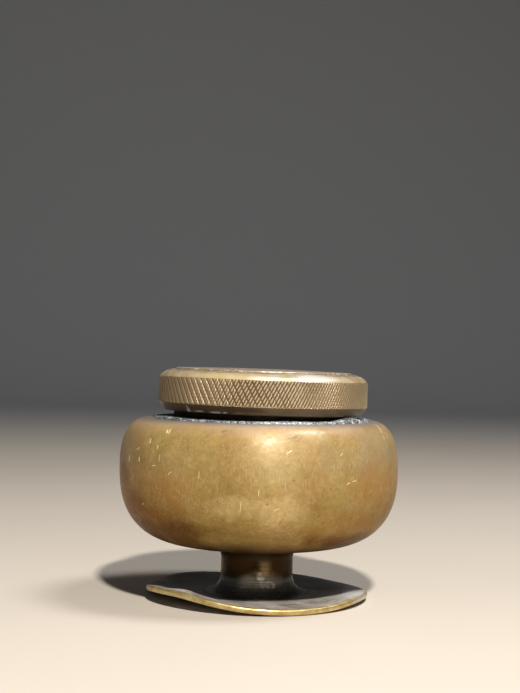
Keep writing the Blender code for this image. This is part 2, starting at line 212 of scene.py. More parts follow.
def rounded(corners, steps=4):
    """A profile from (radius, height, rounding) corners, each rounding a quadratic curve."""
    points = []
    last = len(corners) - 1
    for i, (r, z, cut) in enumerate(corners):
        here = Vector((r, z))
        if cut == 0 or i in (0, last):
            points.append(here)
            continue
        before = Vector(corners[i - 1][:2]) - here
        after = Vector(corners[i + 1][:2]) - here
        reach = min(cut, before.length / 2, after.length / 2)
        start = here + before.normalized() * reach
        end = here + after.normalized() * reach
        for k in range(steps + 1):
            t = k / steps
            points.append(start * (1 - t) ** 2 + here * 2 * t * (1 - t) + end * t ** 2)
    return points


def refined(points, spacing):
    """The profile with no step longer than the spacing."""
    made = [Vector(points[0])]
    for start, end in zip(points, points[1:]):
        count = max(1, int(np.ceil((Vector(end) - Vector(start)).length / spacing)))
        made += [Vector(start).lerp(Vector(end), k / count) for k in range(1, count + 1)]
    return made


def turned(profile, columns):
    """Grid of points, one row per profile point, from its outer side's top to its bottom."""
    angle = np.arange(columns) * tau / columns
    radius = np.array([p[0] for p in profile])[:, None]
    height = np.array([p[1] for p in profile])[:, None]
    return np.stack([
        radius * np.cos(angle),
        radius * np.sin(angle),
        height + 0 * angle,
    ], axis=-1)


def polar(grid):
    """Radius and angle, in degrees, of every point of a grid."""
    return np.hypot(grid[..., 0], grid[..., 1]), np.degrees(np.arctan2(grid[..., 1], grid[..., 0]))


def swell(grid, amount):
    """Moves each point away from the axis by an amount."""
    radius = np.maximum(np.hypot(grid[..., 0], grid[..., 1]), 1e-9)
    grid[..., 0] += grid[..., 0] / radius * amount
    grid[..., 1] += grid[..., 1] / radius * amount


def rough(grid, wavelength, seed=0.0, octaves=3):
    """Smooth noise between about -1 and 1 at each point of a grid."""
    shift = Vector((seed, seed * 1.7, seed * 2.3))
    flat = grid.reshape(-1, 3) / wavelength
    values = [noise.fractal(Vector(p) + shift, 1.0, 2.0, octaves) for p in flat]
    return np.array(values).reshape(grid.shape[:2])


def unit(value):
    """The value kept between zero and one."""
    return np.clip(value, 0.0, 1.0)


def bump(angle, direction, half_width):
    """A smooth hill of height one centred on a direction, in degrees."""
    away = (angle - direction + 180.0) % 360.0 - 180.0
    return np.exp(-(away / half_width) ** 2)


def piece(name, grid, material, body, replaces=(), place=UPRIGHT, ring=False, sharp=35.0):
    """A smooth mesh object from a grid, riding on a body. A ring's last row joins its first."""
    rows, columns = grid.shape[:2]
    index = np.arange(rows * columns).reshape(rows, columns)
    upper = index if ring else index[:-1]
    lower = np.roll(index, -1, axis=0) if ring else index[1:]
    faces = np.stack([
        upper, lower, np.roll(lower, -1, axis=1), np.roll(upper, -1, axis=1),
    ], axis=-1).reshape(-1, 4)
    mesh = bpy.data.meshes.new(name)
    mesh.from_pydata(grid.reshape(-1, 3).tolist(), [], faces.tolist())
    bm = bmesh.new()
    bm.from_mesh(mesh)
    bmesh.ops.remove_doubles(bm, verts=bm.verts, dist=1e-7)
    bmesh.ops.dissolve_degenerate(bm, edges=bm.edges, dist=1e-8)
    bm.to_mesh(mesh)
    bm.free()
    mesh.shade_smooth()
    mesh.set_sharp_from_angle(angle=radians(sharp))
    mesh.materials.append(material)
    made = bpy.data.objects.new(name, mesh)
    bpy.context.scene.collection.objects.link(made)
    made.matrix_world = place
    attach(made, body)
    if replaces:
        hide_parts(*replaces)


# ---------------------------------------- shader building

class Shader:
    """One material's node tree. An input is a number, a colour or another node's socket."""

    def __init__(self, name, metallic=1.0, roughness=0.4):
        self.material = bpy.data.materials.new(name)
        self.material.use_nodes = True
        self.tree = self.material.node_tree
        self.surface = self.tree.nodes["Principled BSDF"]
        self.surface.inputs["Metallic"].default_value = metallic
        self.surface.inputs["Roughness"].default_value = roughness
        self.place = self.node("TexCoord").outputs["Object"]
        self.axes = self.node("SeparateXYZ", {0: self.place}).outputs
        self.angle = self.math("ARCTAN2", self.axes["Y"], self.axes["X"])
        across = self.times(self.axes["X"], self.axes["X"])
        along = self.times(self.axes["Y"], self.axes["Y"])
        self.radius = self.math("SQRT", self.math("ADD", across, along))

    def node(self, kind, inputs=None, **settings):
        made = self.tree.nodes.new("ShaderNode" + kind)
        for name, value in settings.items():
            setattr(made, name, value)
        for key, value in (inputs or {}).items():
            self.feed(made.inputs[key], value)
        return made

    def feed(self, socket, value):
        if isinstance(value, bpy.types.NodeSocket):
            self.tree.links.new(value, socket)
        else:
            socket.default_value = value

    def set(self, name, value):
        self.feed(self.surface.inputs[name], value)

    def math(self, operation, a, b=0.0, c=0.0):
        return self.node("Math", {0: a, 1: b, 2: c}, operation=operation).outputs[0]

    def times(self, a, b):
        return self.math("MULTIPLY", a, b)

    def noise(self, scale, detail=4.0, roughness=0.55, distortion=0.0, at=None):
        inputs = {"Vector": at or self.place, "Scale": scale, "Detail": detail,
                  "Roughness": roughness, "Distortion": distortion}
        return self.node("TexNoise", inputs).outputs["Fac"]

    def cells(self, scale):
        """Distance to the middle of the nearest of many scattered cells."""
        inputs = {"Vector": self.place, "Scale": scale, "Randomness": 1.0}
        return self.node("TexVoronoi", inputs).outputs["Distance"]

    def step(self, value, low, high):
        """Zero below low and one above high, or the other way round, smooth between."""
        inputs = {"Value": value, "From Min": low, "From Max": high}
        return self.node("MapRange", inputs, interpolation_type="SMOOTHSTEP").outputs[0]

    def above(self, low, high):
        """Zero below one height and one above another, or the other way round."""
        return self.step(self.axes["Z"], low, high)

    def varied(self, scale, swing, base):
        """Noise stretched over a swing above a base value."""
        return self.math("MULTIPLY_ADD", self.noise(scale), swing, base)

    def ramp(self, value, stops):
        made = self.node("ValToRGB", {"Fac": value})
        elements = made.color_ramp.elements
        while len(elements) < len(stops):
            elements.new(0.5)
        for element, (position, color) in zip(elements, stops):
            element.position = position
            element.color = (*color, 1.0)
        return made.outputs["Color"]

    def mix(self, factor, a, b, blend="MIX"):
        pair = [value if isinstance(value, bpy.types.NodeSocket) else (*value, 1.0) for value in (a, b)]
        inputs = {0: factor, 6: pair[0], 7: pair[1]}
        return self.node("Mix", inputs, data_type="RGBA", blend_type=blend).outputs[2]

    def cover(self, color, mask, strength, paint):
        """The colour with a paint laid over it where the mask is, at a strength."""
        return self.mix(self.times(mask, strength), color, paint)

    def shade(self, color, factor):
        """The colour made lighter or darker by a factor."""
        gray = self.node("CombineColor", {0: factor, 1: factor, 2: factor}).outputs[0]
        return self.mix(1.0, color, gray, "MULTIPLY")

    def mapped(self, scale, rotation=(0.0, 0.0, 0.0)):
        inputs = {"Vector": self.place, "Rotation": [radians(a) for a in rotation], "Scale": scale}
        return self.node("Mapping", inputs).outputs[0]

    def lathe_lines(self, pitch, detail=3.0):
        """Fine lines that run round the axis, on sides and flats alike."""
        inputs = {
            "X": self.times(self.radius, 1 / pitch),
            "Y": self.times(self.axes["Z"], 1 / pitch),
            "Z": self.times(self.angle, 1.5),
        }
        at = self.node("CombineXYZ", inputs).outputs[0]
        return self.noise(1.0, detail=detail, roughness=0.6, at=at)

    def scratches(self, rotations, fine, length, threshold=0.68):
        """Thin broken lines, one family for each rotation in degrees."""
        total = 0.0
        for i, rotation in enumerate(rotations):
            at = self.mapped((1 / fine, 1 / fine, 1 / length), rotation)
            lines = self.noise(1.0, detail=1.0, distortion=0.15, at=at)
            gate = self.noise(140.0 + 37.0 * i, detail=1.0)
            sharp = self.step(lines, threshold, threshold + 0.03)
            total = self.math("MAXIMUM", total, self.times(sharp, self.step(gate, 0.5, 0.6)))
        return total

    def mark(self, azimuth, height, tilt, length, width):
        """One straight mark: direction and tilt in degrees, the rest in millimetres."""
        turn = self.math("SUBTRACT", self.angle, radians(azimuth))
        u = self.times(turn, self.radius)
        v = self.math("SUBTRACT", self.axes["Z"], height * MM)
        along = self.math("ADD", self.times(u, sin(radians(tilt))),
                          self.times(v, cos(radians(tilt))))
        across = self.math("SUBTRACT", self.times(u, cos(radians(tilt))),
                           self.times(v, sin(radians(tilt))))
        uneven = self.math("SUBTRACT", self.noise(700.0, detail=2.0), 0.5)
        waver = self.times(uneven, width * MM * 1.6)
        side = self.math("ABSOLUTE", self.math("ADD", across, waver))
        end = self.math("ABSOLUTE", along)
        inside = self.step(side, width * MM, width * MM * 0.35)
        within = self.step(end, length * MM * 0.5, length * MM * 0.3)
        return self.times(inside, within)

    def marks(self, rows):
        total = 0.0
        for row in rows:
            total = self.math("MAXIMUM", total, self.mark(*row))
        return total

    def patches(self, rows, grain=130.0):
        """Soft patches: direction and height of the middle, and width and height, in degrees and mm."""
        ragged = self.math("SUBTRACT", self.noise(grain, detail=6.0, roughness=0.6), 0.5)
        total = 0.0
        for azimuth, height, width, tall in rows:
            turn = self.math("SUBTRACT", self.angle, radians(azimuth))
            around = self.math("ARCTAN2", self.math("SINE", turn), self.math("COSINE", turn))
            across = self.times(around, 2.0 / radians(width))
            up = self.math("MULTIPLY_ADD", self.axes["Z"], 2.0 / (tall * MM), -2.0 * height / tall)
            far = self.math("ADD", self.times(across, across), self.times(up, up))
            reach = self.math("MULTIPLY_ADD", ragged, 2.2, self.math("SQRT", far))
            total = self.math("MAXIMUM", total, self.step(reach, 1.3, 0.3))
        return total

    def bumped(self, height, strength, distance, under=None):
        inputs = {"Height": height, "Strength": strength, "Distance": distance}
        if under is not None:
            inputs["Normal"] = under
        return self.node("Bump", inputs).outputs[0]


# ---------------------------------------- materials

def bowl_brass():
    """Olive-gold brass, faintly mottled brown and pink, rubbed by hands, with nicks and dark spots, with
    painted shade low down, painted reflections at its edges and painted light low on its front.
    """
    s = Shader("bowl_brass")
    broad = s.noise(95.0, detail=7.0, roughness=0.62, distortion=0.6)
    color = s.ramp(broad, [
        (0.34, (0.258, 0.157, 0.042)),
        (0.45, (0.29, 0.19, 0.056)),
        (0.54, (0.312, 0.213, 0.068)),
        (0.66, (0.34, 0.238, 0.088)),
    ])
    pink = s.step(s.noise(46.0, detail=3.0, distortion=1.0), 0.5, 0.66)
    color = s.cover(color, pink, 0.35, (0.34, 0.2, 0.078))
    blotch = s.step(s.noise(330.0, detail=5.0, roughness=0.65), 0.53, 0.64)
    color = s.cover(color, blotch, 0.15, (0.5, 0.37, 0.17))
    # painted light: pale patches low on the front of the bowl, where the lamp's light falls
    color = s.cover(color, s.patches(BOWL_PAINTED_LIGHT_PATCHES, 420.0), 0.42, (0.54, 0.4, 0.19))
    grain = s.math("ADD", s.noise(1500.0, detail=3.0), s.noise(620.0))
    color = s.shade(color, s.math("MULTIPLY_ADD", grain, 0.52, 0.48))

    # greyish patches: tone of the brass, and on the upper left and right a painted reflection of a dark
    # backdrop
    color = s.cover(color, s.patches(BOWL_GRAY_AND_REFLECTION_PATCHES), 0.5, (0.23, 0.17, 0.11))
    # brown patches: brown tone, and low on the left a painted reflection of a dark, shaded floor
    color = s.cover(color, s.patches(BOWL_BROWN_AND_DARK_REFLECTION_PATCHES), 0.85, (0.108, 0.036, 0.002))
    # orange patches: warm tone, and at the bowl's left and right edges a painted reflection of a warm floor
    color = s.cover(color, s.patches(BOWL_ORANGE_AND_REFLECTION_PATCHES), 0.5, (0.33, 0.155, 0.032))
    # painted shade: the colour turns near-black brown below about 16 mm, standing for shade and a dark
    # floor reflected under the bowl
    base = s.step(s.varied(60.0, 4.0 * MM, s.axes["Z"]), 17.8 * MM, 14.0 * MM)
    color = s.mix(base, color, (0.05, 0.022, 0.005))

    shoulder = s.above(34.8 * MM, 37.6 * MM)
    blush = s.times(shoulder, s.step(s.noise(120.0), 0.34, 0.56))
    color = s.cover(color, blush, 0.75, (0.37, 0.245, 0.15))
    # grey-pink band on the top flat: oxide, and partly a painted reflection of the sky seen in this upward
    # face
    inward = s.step(s.radius, 27.2 * MM, 25.2 * MM)
    rim = s.times(inward, s.above(36.6 * MM, 37.4 * MM))
    color = s.cover(color, rim, 0.85, (0.2, 0.163, 0.148))
    pits = s.step(s.cells(430.0), 0.12, 0.05)
    pits = s.times(pits, s.step(s.noise(150.0, detail=1.0), 0.5, 0.62))
    color = s.cover(color, pits, 0.55, (0.1, 0.06, 0.02))
    color = s.cover(color, s.marks(BOWL_DARK_MARKS), 0.5, (0.12, 0.07, 0.028))

    fine = s.scratches([(4, 0, 0), (80, 25, 0), (20, 70, 0), (0, 88, 30)], 0.11 * MM, 2.6 * MM, 0.66)
    bright = s.math("MAXIMUM", s.times(fine, 0.32), s.marks(BOWL_BRIGHT_MARKS))
    color = s.cover(color, bright, 0.85, (0.86, 0.7, 0.42))
    s.set("Base Color", color)
    dull = s.varied(1100.0, 0.44, 0.28)
    s.set("Roughness", s.math("SUBTRACT", dull, s.times(bright, 0.1)))
    handled = s.above(19.0 * MM, 31.0 * MM)
    s.set("Metallic", s.math("MULTIPLY_ADD", handled, -0.27, 0.42))
    s.set("Specular IOR Level", s.math("MULTIPLY_ADD", handled, 0.45, 0.05))
    s.set("Anisotropic", 0.72)
    s.set("Anisotropic Rotation", 0.25)
    s.set("Tangent", s.node("Tangent", direction_type="RADIAL", axis="Z").outputs[0])
    s.set("Coat Weight", s.math("MULTIPLY_ADD", shoulder, 0.5, s.times(handled, 0.12)))
    s.set("Coat Roughness", 0.3)

    dents = s.bumped(s.noise(230.0), 0.25, 0.3 * MM)
    specks = s.bumped(s.noise(1900.0, detail=3.0), 0.3, 0.05 * MM, dents)
    streaks = s.noise(1.0, detail=2.0, at=s.mapped((1 / (0.3 * MM), 1 / (0.3 * MM), 1 / (2.2 * MM))))
    turning = s.bumped(s.lathe_lines(0.16 * MM), 0.12, 0.03 * MM, specks)
    turning = s.bumped(streaks, 0.3, 0.04 * MM, turning)
    cuts = s.math("SUBTRACT", s.times(pits, -1.0), bright)
    s.set("Normal", s.bumped(cuts, 0.5, 0.05 * MM, turning))
    return s.material


def lid_brass(name, knurled=False):
    """Brown-gold turned brass, greyer than the bowl, rubbed pale on its bevel and top, with a painted
    highlight on the bevel, a painted highlight in the skirt's nick and painted shade on the knurl's sides.
    """
    s = Shader(name, metallic=0.42 if knurled else 0.3)
    broad = s.noise(120.0, detail=6.0, distortion=0.5)
    color = s.ramp(broad, [
        (0.34, (0.23, 0.155, 0.075)),
        (0.46, (0.3, 0.212, 0.106)),
        (0.58, (0.35, 0.256, 0.138)),
        (0.7, (0.385, 0.29, 0.175)),
    ])
    grain = s.noise(1500.0, detail=3.0)
    color = s.shade(color, s.math("MULTIPLY_ADD", grain, 0.7, 0.65))
    if knurled:
        dirt = s.step(s.radius, LID_RADIUS - KNURL_DEPTH * 0.15, LID_RADIUS - KNURL_DEPTH * 0.6)
        color = s.cover(color, dirt, 0.78, (0.08, 0.048, 0.018))
        crest = s.step(s.radius, LID_RADIUS - 0.06 * MM, LID_RADIUS)
        color = s.cover(color, crest, 0.7, (0.54, 0.435, 0.285))
        # dulled knurl, darker on its left and right sides as seen from the front: painted shade
        color = s.cover(color, s.patches(KNURL_DULL_AND_SHADE), 0.66, (0.16, 0.106, 0.05))
    else:
        rubbed = s.above(LID_BAND_TOP_Z, LID_BAND_TOP_Z + 0.3 * MM)
        pale = s.ramp(s.noise(330.0, detail=6.0, roughness=0.65), [
            (0.36, (0.35, 0.255, 0.11)),
            (0.5, (0.42, 0.325, 0.2)),
            (0.64, (0.5, 0.415, 0.305)),
        ])
        color = s.cover(color, rubbed, 0.85, pale)
        # painted highlight: pale patches on the bevel at the front right; the one at the back is rubbed
        # metal
        color = s.cover(color, s.patches(LID_RUBBED_AND_HIGHLIGHT), 0.8, (0.66, 0.59, 0.5))
        color = s.cover(color, s.patches(LID_OLIVE), 0.65, (0.58, 0.46, 0.23))
        top = s.above(LID_BEVEL_Z + 0.05 * MM, LID_SHOULDER_Z)
        color = s.cover(color, top, 0.65, (0.27, 0.205, 0.145))
        skirt = s.above(LID_BAND_BOTTOM_Z + 0.1 * MM, LID_BAND_BOTTOM_Z - 0.1 * MM)
        color = s.cover(color, skirt, 0.8, (0.125, 0.082, 0.042))
        # near-black patches on the skirt, mostly at the front left
        color = s.cover(color, s.patches(LID_DARK_SKIRT_PATCHES), 0.7, (0.045, 0.026, 0.012))
        low = s.above(LID_SKIRT_Z + 0.75 * MM, LID_SKIRT_Z + 0.25 * MM)
        worn = s.times(low, s.step(s.noise(240.0), 0.36, 0.6))
        color = s.cover(color, worn, 0.6, (0.3, 0.235, 0.17))
        # pale smears, and the nick's bare metal painted near-white, partly as a painted highlight
        smears_and_nick_highlight = s.math("MAXIMUM", s.patches(LID_SMEARS, 900.0), s.marks(LID_PALE_MARKS))
        color = s.cover(color, smears_and_nick_highlight, 0.8, (0.74, 0.7, 0.65))
        for ring in LID_RINGS:
            away = s.math("ABSOLUTE", s.math("SUBTRACT", s.radius, ring))
            near = s.step(away, 0.2 * MM, 0.1 * MM)
            line = s.times(near, s.above(9.0 * MM, 9.3 * MM))
            color = s.cover(color, line, 0.8, (0.1, 0.066, 0.036))
        specks = s.times(s.step(s.noise(1300.0), 0.54, 0.62), top)
        color = s.cover(color, specks, 0.7, (0.72, 0.65, 0.56))
    rings = s.step(s.lathe_lines(0.24 * MM), 0.56, 0.7)
    color = s.cover(color, rings, 0.25, (0.15, 0.1, 0.05))
    s.set("Base Color", color)
    s.set("Roughness", s.varied(220.0, 0.22, 0.3 if knurled else 0.26))
    if not knurled:
        s.set("Coat Weight", s.times(rubbed, 0.5))
    s.set("Coat Roughness", 0.22)
    turning = s.bumped(s.lathe_lines(0.14 * MM), 0.2, 0.03 * MM)
    s.set("Normal", s.bumped(s.noise(600.0, detail=3.0), 0.14, 0.1 * MM, turning))
    return s.material


def stem_brass():
    """Brown-black patina with fine tool lines, made near-black with painted shade, golden round the middle
    where rubbed and painted lit, crusted at its root, with a painted reflection and painted glints on its
    flare.
    """
    s = Shader("stem_brass", metallic=0.4)
    color = s.ramp(s.noise(170.0, detail=6.0, distortion=0.6), [
        (0.35, (0.17, 0.1, 0.038)),
        (0.52, (0.29, 0.19, 0.08)),
        (0.7, (0.42, 0.3, 0.15)),
    ])
    lines = s.step(s.lathe_lines(0.26 * MM), 0.5, 0.66)
    color = s.cover(color, lines, 0.45, (0.085, 0.048, 0.02))
    # painted shade: the stem made near-black except in a few patches; the patches at the front are painted
    # light and a painted highlight stripe, the others rubbed brass
    dark = s.math("MULTIPLY_ADD", s.patches(STEM_RUBBED_AND_LIT), -0.93, 0.93)
    color = s.mix(dark, color, (0.016, 0.009, 0.004))
    low = s.above(5.2 * MM, 4.0 * MM)
    color = s.cover(color, low, 0.85, (0.15, 0.152, 0.142))
    russet = s.times(s.patches(STEM_RUSSET), 0.6)
    color = s.mix(russet, color, (0.07, 0.032, 0.009))
    # pale patches on the flare: the wide one at the front is a painted reflection of the lit foot before
    # it, the others bare metal
    color = s.cover(color, s.patches(STEM_BARE_AND_REFLECTION), 0.6, (0.46, 0.42, 0.315))
    # painted glints: near-white spots on the front of the flare
    glint = s.patches(STEM_GLINTS, 420.0)
    glint = s.times(glint, s.step(s.noise(800.0), 0.35, 0.6))
    color = s.mix(glint, color, (0.9, 0.87, 0.8))
    s.set("Base Color", color)
    dull = s.varied(240.0, 0.24, 0.3)
    s.set("Roughness", s.math("MULTIPLY_ADD", low, -0.15, dull))
    s.set("Specular IOR Level", 0.06)
    crust = s.bumped(s.noise(620.0), 0.3, 0.14 * MM)
    s.set("Normal", s.bumped(s.lathe_lines(0.18 * MM), 0.2, 0.03 * MM, crust))
    return s.material


def foot_brass():
    """Grey-brown patina, black round the stem with soot and painted shade, darker at the back with painted
    shade, lightened by painted light at its left end and right front, worn through to yellow brass along
    the rim.
    """
    s = Shader("foot_brass", metallic=0.3)
    color = s.ramp(s.noise(160.0, detail=7.0, roughness=0.6, distortion=0.8), [
        (0.34, (0.22, 0.19, 0.158)),
        (0.5, (0.38, 0.345, 0.3)),
        (0.66, (0.56, 0.52, 0.465)),
    ])
    color = s.shade(color, s.math("MULTIPLY_ADD", s.noise(1300.0, detail=3.0), 0.6, 0.7))
    # soot round the stem, and painted shade where the bowl shades the plate
    ragged = s.math("MULTIPLY_ADD", s.noise(300.0, detail=3.0), 2.6 * MM, s.radius)
    soot_and_shade = s.step(ragged, 13.4 * MM, 12.2 * MM)
    color = s.cover(color, soot_and_shade, 0.9, (0.018, 0.016, 0.013))
    # painted shade: the back half of the plate darkened
    color = s.cover(color, s.step(s.axes["Y"], -2.0 * MM, 4.0 * MM), 0.75, (0.05, 0.045, 0.038))
    streaks = s.step(s.lathe_lines(1.1 * MM, 4.0), 0.5, 0.62)
    color = s.cover(color, streaks, 0.45, (0.12, 0.104, 0.086))
    rubs = s.scratches([(5, 0, 0), (85, 0, 0), (40, 30, 0)], 0.12 * MM, 2.0 * MM, 0.64)
    color = s.cover(color, rubs, 0.6, (0.5, 0.44, 0.33))
    uneven = s.math("MULTIPLY_ADD", s.noise(420.0, detail=3.0), 0.5 * MM, s.radius)
    edge = s.step(uneven, FOOT_RADIUS - 0.5 * MM, FOOT_RADIUS - 0.15 * MM)
    gold = s.ramp(s.noise(520.0, detail=5.0, roughness=0.65), [
        (0.34, (0.46, 0.33, 0.12)),
        (0.5, (0.62, 0.465, 0.2)),
        (0.66, (0.74, 0.6, 0.31)),
    ])
    color = s.mix(edge, color, gold)
    # painted light: the left end of the plate lightened to grey out of the painted shade
    color = s.cover(color, s.patches(FOOT_PAINTED_LIGHT_LEFT, 600.0), 0.85, (0.24, 0.225, 0.19))
    # painted light: the outer part of the plate at its right front made pale
    lit_tip = s.times(s.patches(FOOT_PAINTED_LIGHT_RIGHT, 500.0), s.step(s.radius, 18.0 * MM, 20.0 * MM))
    color = s.cover(color, lit_tip, 0.75, (0.66, 0.64, 0.6))
    s.set("Base Color", color)
    s.set("Metallic", s.math("MULTIPLY_ADD", edge, 0.55, 0.3))
    s.set("Roughness", s.varied(240.0, 0.3, 0.3))
    dents = s.bumped(s.noise(330.0), 0.3, 0.2 * MM)
    s.set("Normal", s.bumped(s.lathe_lines(0.2 * MM), 0.1, 0.03 * MM, dents))
    return s.material


def crusty_solder():
    """Grey, chalky solder, white on its crest and black, grimy and in painted shade, on the side under the
    lid.
    """
    s = Shader("crusty_solder", metallic=0.15)
    coarse = s.times(s.noise(420.0, detail=3.0), 0.25)
    color = s.ramp(s.math("MULTIPLY_ADD", s.noise(2400.0, detail=5.0, roughness=0.7), 0.75, coarse), [
        (0.43, (0.025, 0.028, 0.029)),
        (0.49, (0.12, 0.132, 0.136)),
        (0.54, (0.29, 0.31, 0.312)),
        (0.61, (0.74, 0.76, 0.75)),
    ])
    # painted shade under the lid, with grime: the bead near-black inside about 22 mm
    grime_and_shade = s.step(s.varied(500.0, 0.5 * MM, s.radius), 22.15 * MM, 21.65 * MM)
    color = s.cover(color, grime_and_shade, 0.95, (0.01, 0.01, 0.009))
    s.set("Base Color", color)
    s.set("Roughness", s.varied(1200.0, 0.4, 0.35))
    s.set("Normal", s.bumped(s.noise(2600.0, detail=5.0), 0.5, 0.08 * MM))
    return s.material


def neck_brass(name, crest_radius):
    """Brass made near-black by grime and painted shade, clean only on the crests beyond a radius."""
    s = Shader(name, metallic=0.4)
    # near-black colour: grime and painted shade, for parts that sit in shade
    color = s.ramp(s.noise(180.0, detail=5.0), [
        (0.35, (0.01, 0.008, 0.006)),
        (0.55, (0.03, 0.021, 0.012)),
        (0.7, (0.065, 0.044, 0.02)),
    ])
    clean = s.step(s.radius, crest_radius, crest_radius + 0.4 * MM)
    color = s.mix(clean, color, (0.4, 0.285, 0.12))
    s.set("Base Color", color)
    s.set("Roughness", s.varied(260.0, 0.25, 0.45))
    s.set("Specular IOR Level", 0.2)
    s.set("Normal", s.bumped(s.lathe_lines(0.12 * MM), 0.15, 0.03 * MM))
    return s.material


def clear_glass():
    s = Shader("clear_glass", metallic=0.0)
    s.set("Transmission Weight", 1.0)
    s.set("IOR", 1.5)
    tint = s.ramp(s.noise(90.0, detail=3.0), [(0.3, (0.8, 0.9, 0.86)), (0.7, (0.92, 0.97, 0.95))])
    s.set("Base Color", tint)
    s.set("Roughness", s.varied(300.0, 0.1, 0.01))
    s.set("Normal", s.bumped(s.noise(140.0, detail=2.0), 0.1, 0.2 * MM))
    return s.material


def oiled_leather():
    s = Shader("oiled_leather", metallic=0.0)
    color = s.ramp(s.noise(500.0, detail=6.0), [
        (0.35, (0.02, 0.011, 0.006)),
        (0.6, (0.075, 0.04, 0.02)),
        (0.75, (0.14, 0.085, 0.045)),
    ])
    s.set("Base Color", color)
    s.set("Roughness", s.varied(700.0, 0.25, 0.55))
    s.set("Normal", s.bumped(s.cells(1500.0), 0.5, 0.1 * MM))
    return s.material


def dulled_steel():
    s = Shader("dulled_steel", metallic=1.0)
    color = s.ramp(s.noise(500.0, detail=5.0), [
        (0.35, (0.1, 0.085, 0.07)),
        (0.6, (0.3, 0.285, 0.265)),
        (0.75, (0.42, 0.4, 0.37)),
    ])
    s.set("Base Color", color)
    s.set("Roughness", s.varied(600.0, 0.3, 0.28))
    s.set("Normal", s.bumped(s.lathe_lines(0.1 * MM), 0.2, 0.02 * MM))
    return s.material


def pale_paper():
    s = Shader("pale_paper", metallic=0.0, roughness=0.9)
    color = s.ramp(s.noise(6.0, detail=3.0), [(0.3, (0.47, 0.415, 0.35)), (0.7, (0.5, 0.445, 0.38))])
    color = s.mix(s.step(s.axes["Y"], 0.35, 1.1), color, (0.4, 0.405, 0.41))
    s.set("Base Color", color)
    return s.material


def scattered(seed, count, *spans):
    """Rows of evenly drawn values, one from each span, the same at every run."""
    draw = random.Random(seed)
    return [[draw.uniform(*span) for span in spans] for _ in range(count)]


# Marks: direction, height (mm), tilt (degrees), length (mm), half-width (mm)
BOWL_BRIGHT_MARKS = (
    scattered(1, 4, (-140, -80), (19, 33), (-12, 8), (1.5, 2.8), (0.07, 0.11))  # upright scratches
    + scattered(2, 7, (-165, -130), (29, 36.5), (-30, 30), (0.8, 1.5), (0.16, 0.3))  # left shoulder
    + scattered(3, 9, (-150, -50), (21, 34), (40, 85), (0.9, 1.6), (0.07, 0.12))  # level nicks
    + scattered(4, 5, (-30, -10), (35, 37.6), (10, 70), (1.2, 2.0), (0.08, 0.12))  # right shoulder
    + scattered(5, 5, (20, 175), (21, 33), (-40, 75), (1.5, 3.2), (0.07, 0.1))  # the back
)
BOWL_DARK_MARKS = (
    scattered(6, 8, (-125, -50), (35, 37), (20, 90), (0.9, 1.8), (0.14, 0.26))  # front shoulder
    + scattered(7, 5, (-85, -25), (18, 34), (0, 80), (0.7, 1.6), (0.14, 0.26))  # right of the middle
    + scattered(8, 2, (50, 160), (23, 31), (20, 80), (1.0, 1.6), (0.14, 0.2))  # the back
)
# Patches: direction, height (mm), width (degrees), height of the patch (mm)
BOWL_GRAY_AND_REFLECTION_PATCHES = (
    (-161.0, 31.5, 26.0, 10.0),
    (-32.0, 32.5, 60.0, 10.0),
    (75.0, 33.0, 50.0, 6.0),
    (160.0, 31.0, 30.0, 8.0),
)
# painted light, low on the front
BOWL_PAINTED_LIGHT_PATCHES = scattered(9, 2, (-100, -60), (19, 25), (20, 28), (5, 8))  # low front
BOWL_BROWN_AND_DARK_REFLECTION_PATCHES = (
    (-150.0, 18.0, 62.0, 13.0),
    (-138.0, 15.5, 50.0, 6.0),
    (-128.0, 16.6, 36.0, 6.0),
    (-160.0, 26.5, 14.0, 6.0),
    (-40.0, 14.6, 56.0, 4.0),
    (10.0, 20.0, 30.0, 12.0),
    (75.0, 17.0, 70.0, 9.0),
    (130.0, 24.0, 40.0, 16.0),
)
BOWL_ORANGE_AND_REFLECTION_PATCHES = (
    (-164.0, 23.5, 34.0, 12.0),
    (-140.0, 20.0, 34.0, 6.0),
    (-44.0, 18.6, 50.0, 6.5),
    (-8.0, 21.0, 34.0, 14.0),
    (-130.0, 24.0, 50.0, 9.0),
    (-28.0, 25.0, 46.0, 14.0),
    (50.0, 28.0, 40.0, 8.0),
)
FOOT_PAINTED_LIGHT_RIGHT = ((-20.0, 1.5, 26.0, 16.0),)
FOOT_PAINTED_LIGHT_LEFT = ((180.0, 1.5, 36.0, 12.0),)
# the front patches are painted light and a painted highlight, the rest rubbed brass
STEM_RUBBED_AND_LIT = (
    (-77.0, 6.9, 22.0, 4.2),
    (-80.0, 6.0, 36.0, 2.0),
    (20.0, 7.4, 70.0, 6.0),
    (120.0, 7.8, 90.0, 5.0),
    (-170.0, 7.0, 40.0, 5.0),
)
STEM_RUSSET = (
    (-52.0, 7.2, 50.0, 6.0),
    (-118.0, 7.4, 40.0, 5.0),
    (150.0, 7.4, 60.0, 5.0),
)
STEM_GLINTS = (
    (-84.0, 5.2, 14.0, 2.6),
    (-79.0, 3.7, 26.0, 1.7),
    (-66.0, 3.6, 12.0, 1.1),
)
STEM_BARE_AND_REFLECTION = (
    (-80.0, 4.1, 96.0, 3.4),
    (-20.0, 3.2, 26.0, 2.0),
    (60.0, 3.4, 40.0, 2.6),
    (170.0, 3.2, 40.0, 2.4),
)
LID_RUBBED_AND_HIGHLIGHT = (
    (-58.0, 9.3, 30.0, 1.8),
    (-88.0, 9.0, 20.0, 0.9),
    (40.0, 9.3, 60.0, 1.8),
)
LID_OLIVE = (
    (-118.0, 9.1, 50.0, 1.4),
    (120.0, 9.1, 50.0, 1.4),
)
LID_DARK_SKIRT_PATCHES = (
    (-138.0, 2.4, 70.0, 2.6),
    (-103.0, 2.6, 40.0, 1.4),
    (60.0, 2.4, 80.0, 2.0),
)
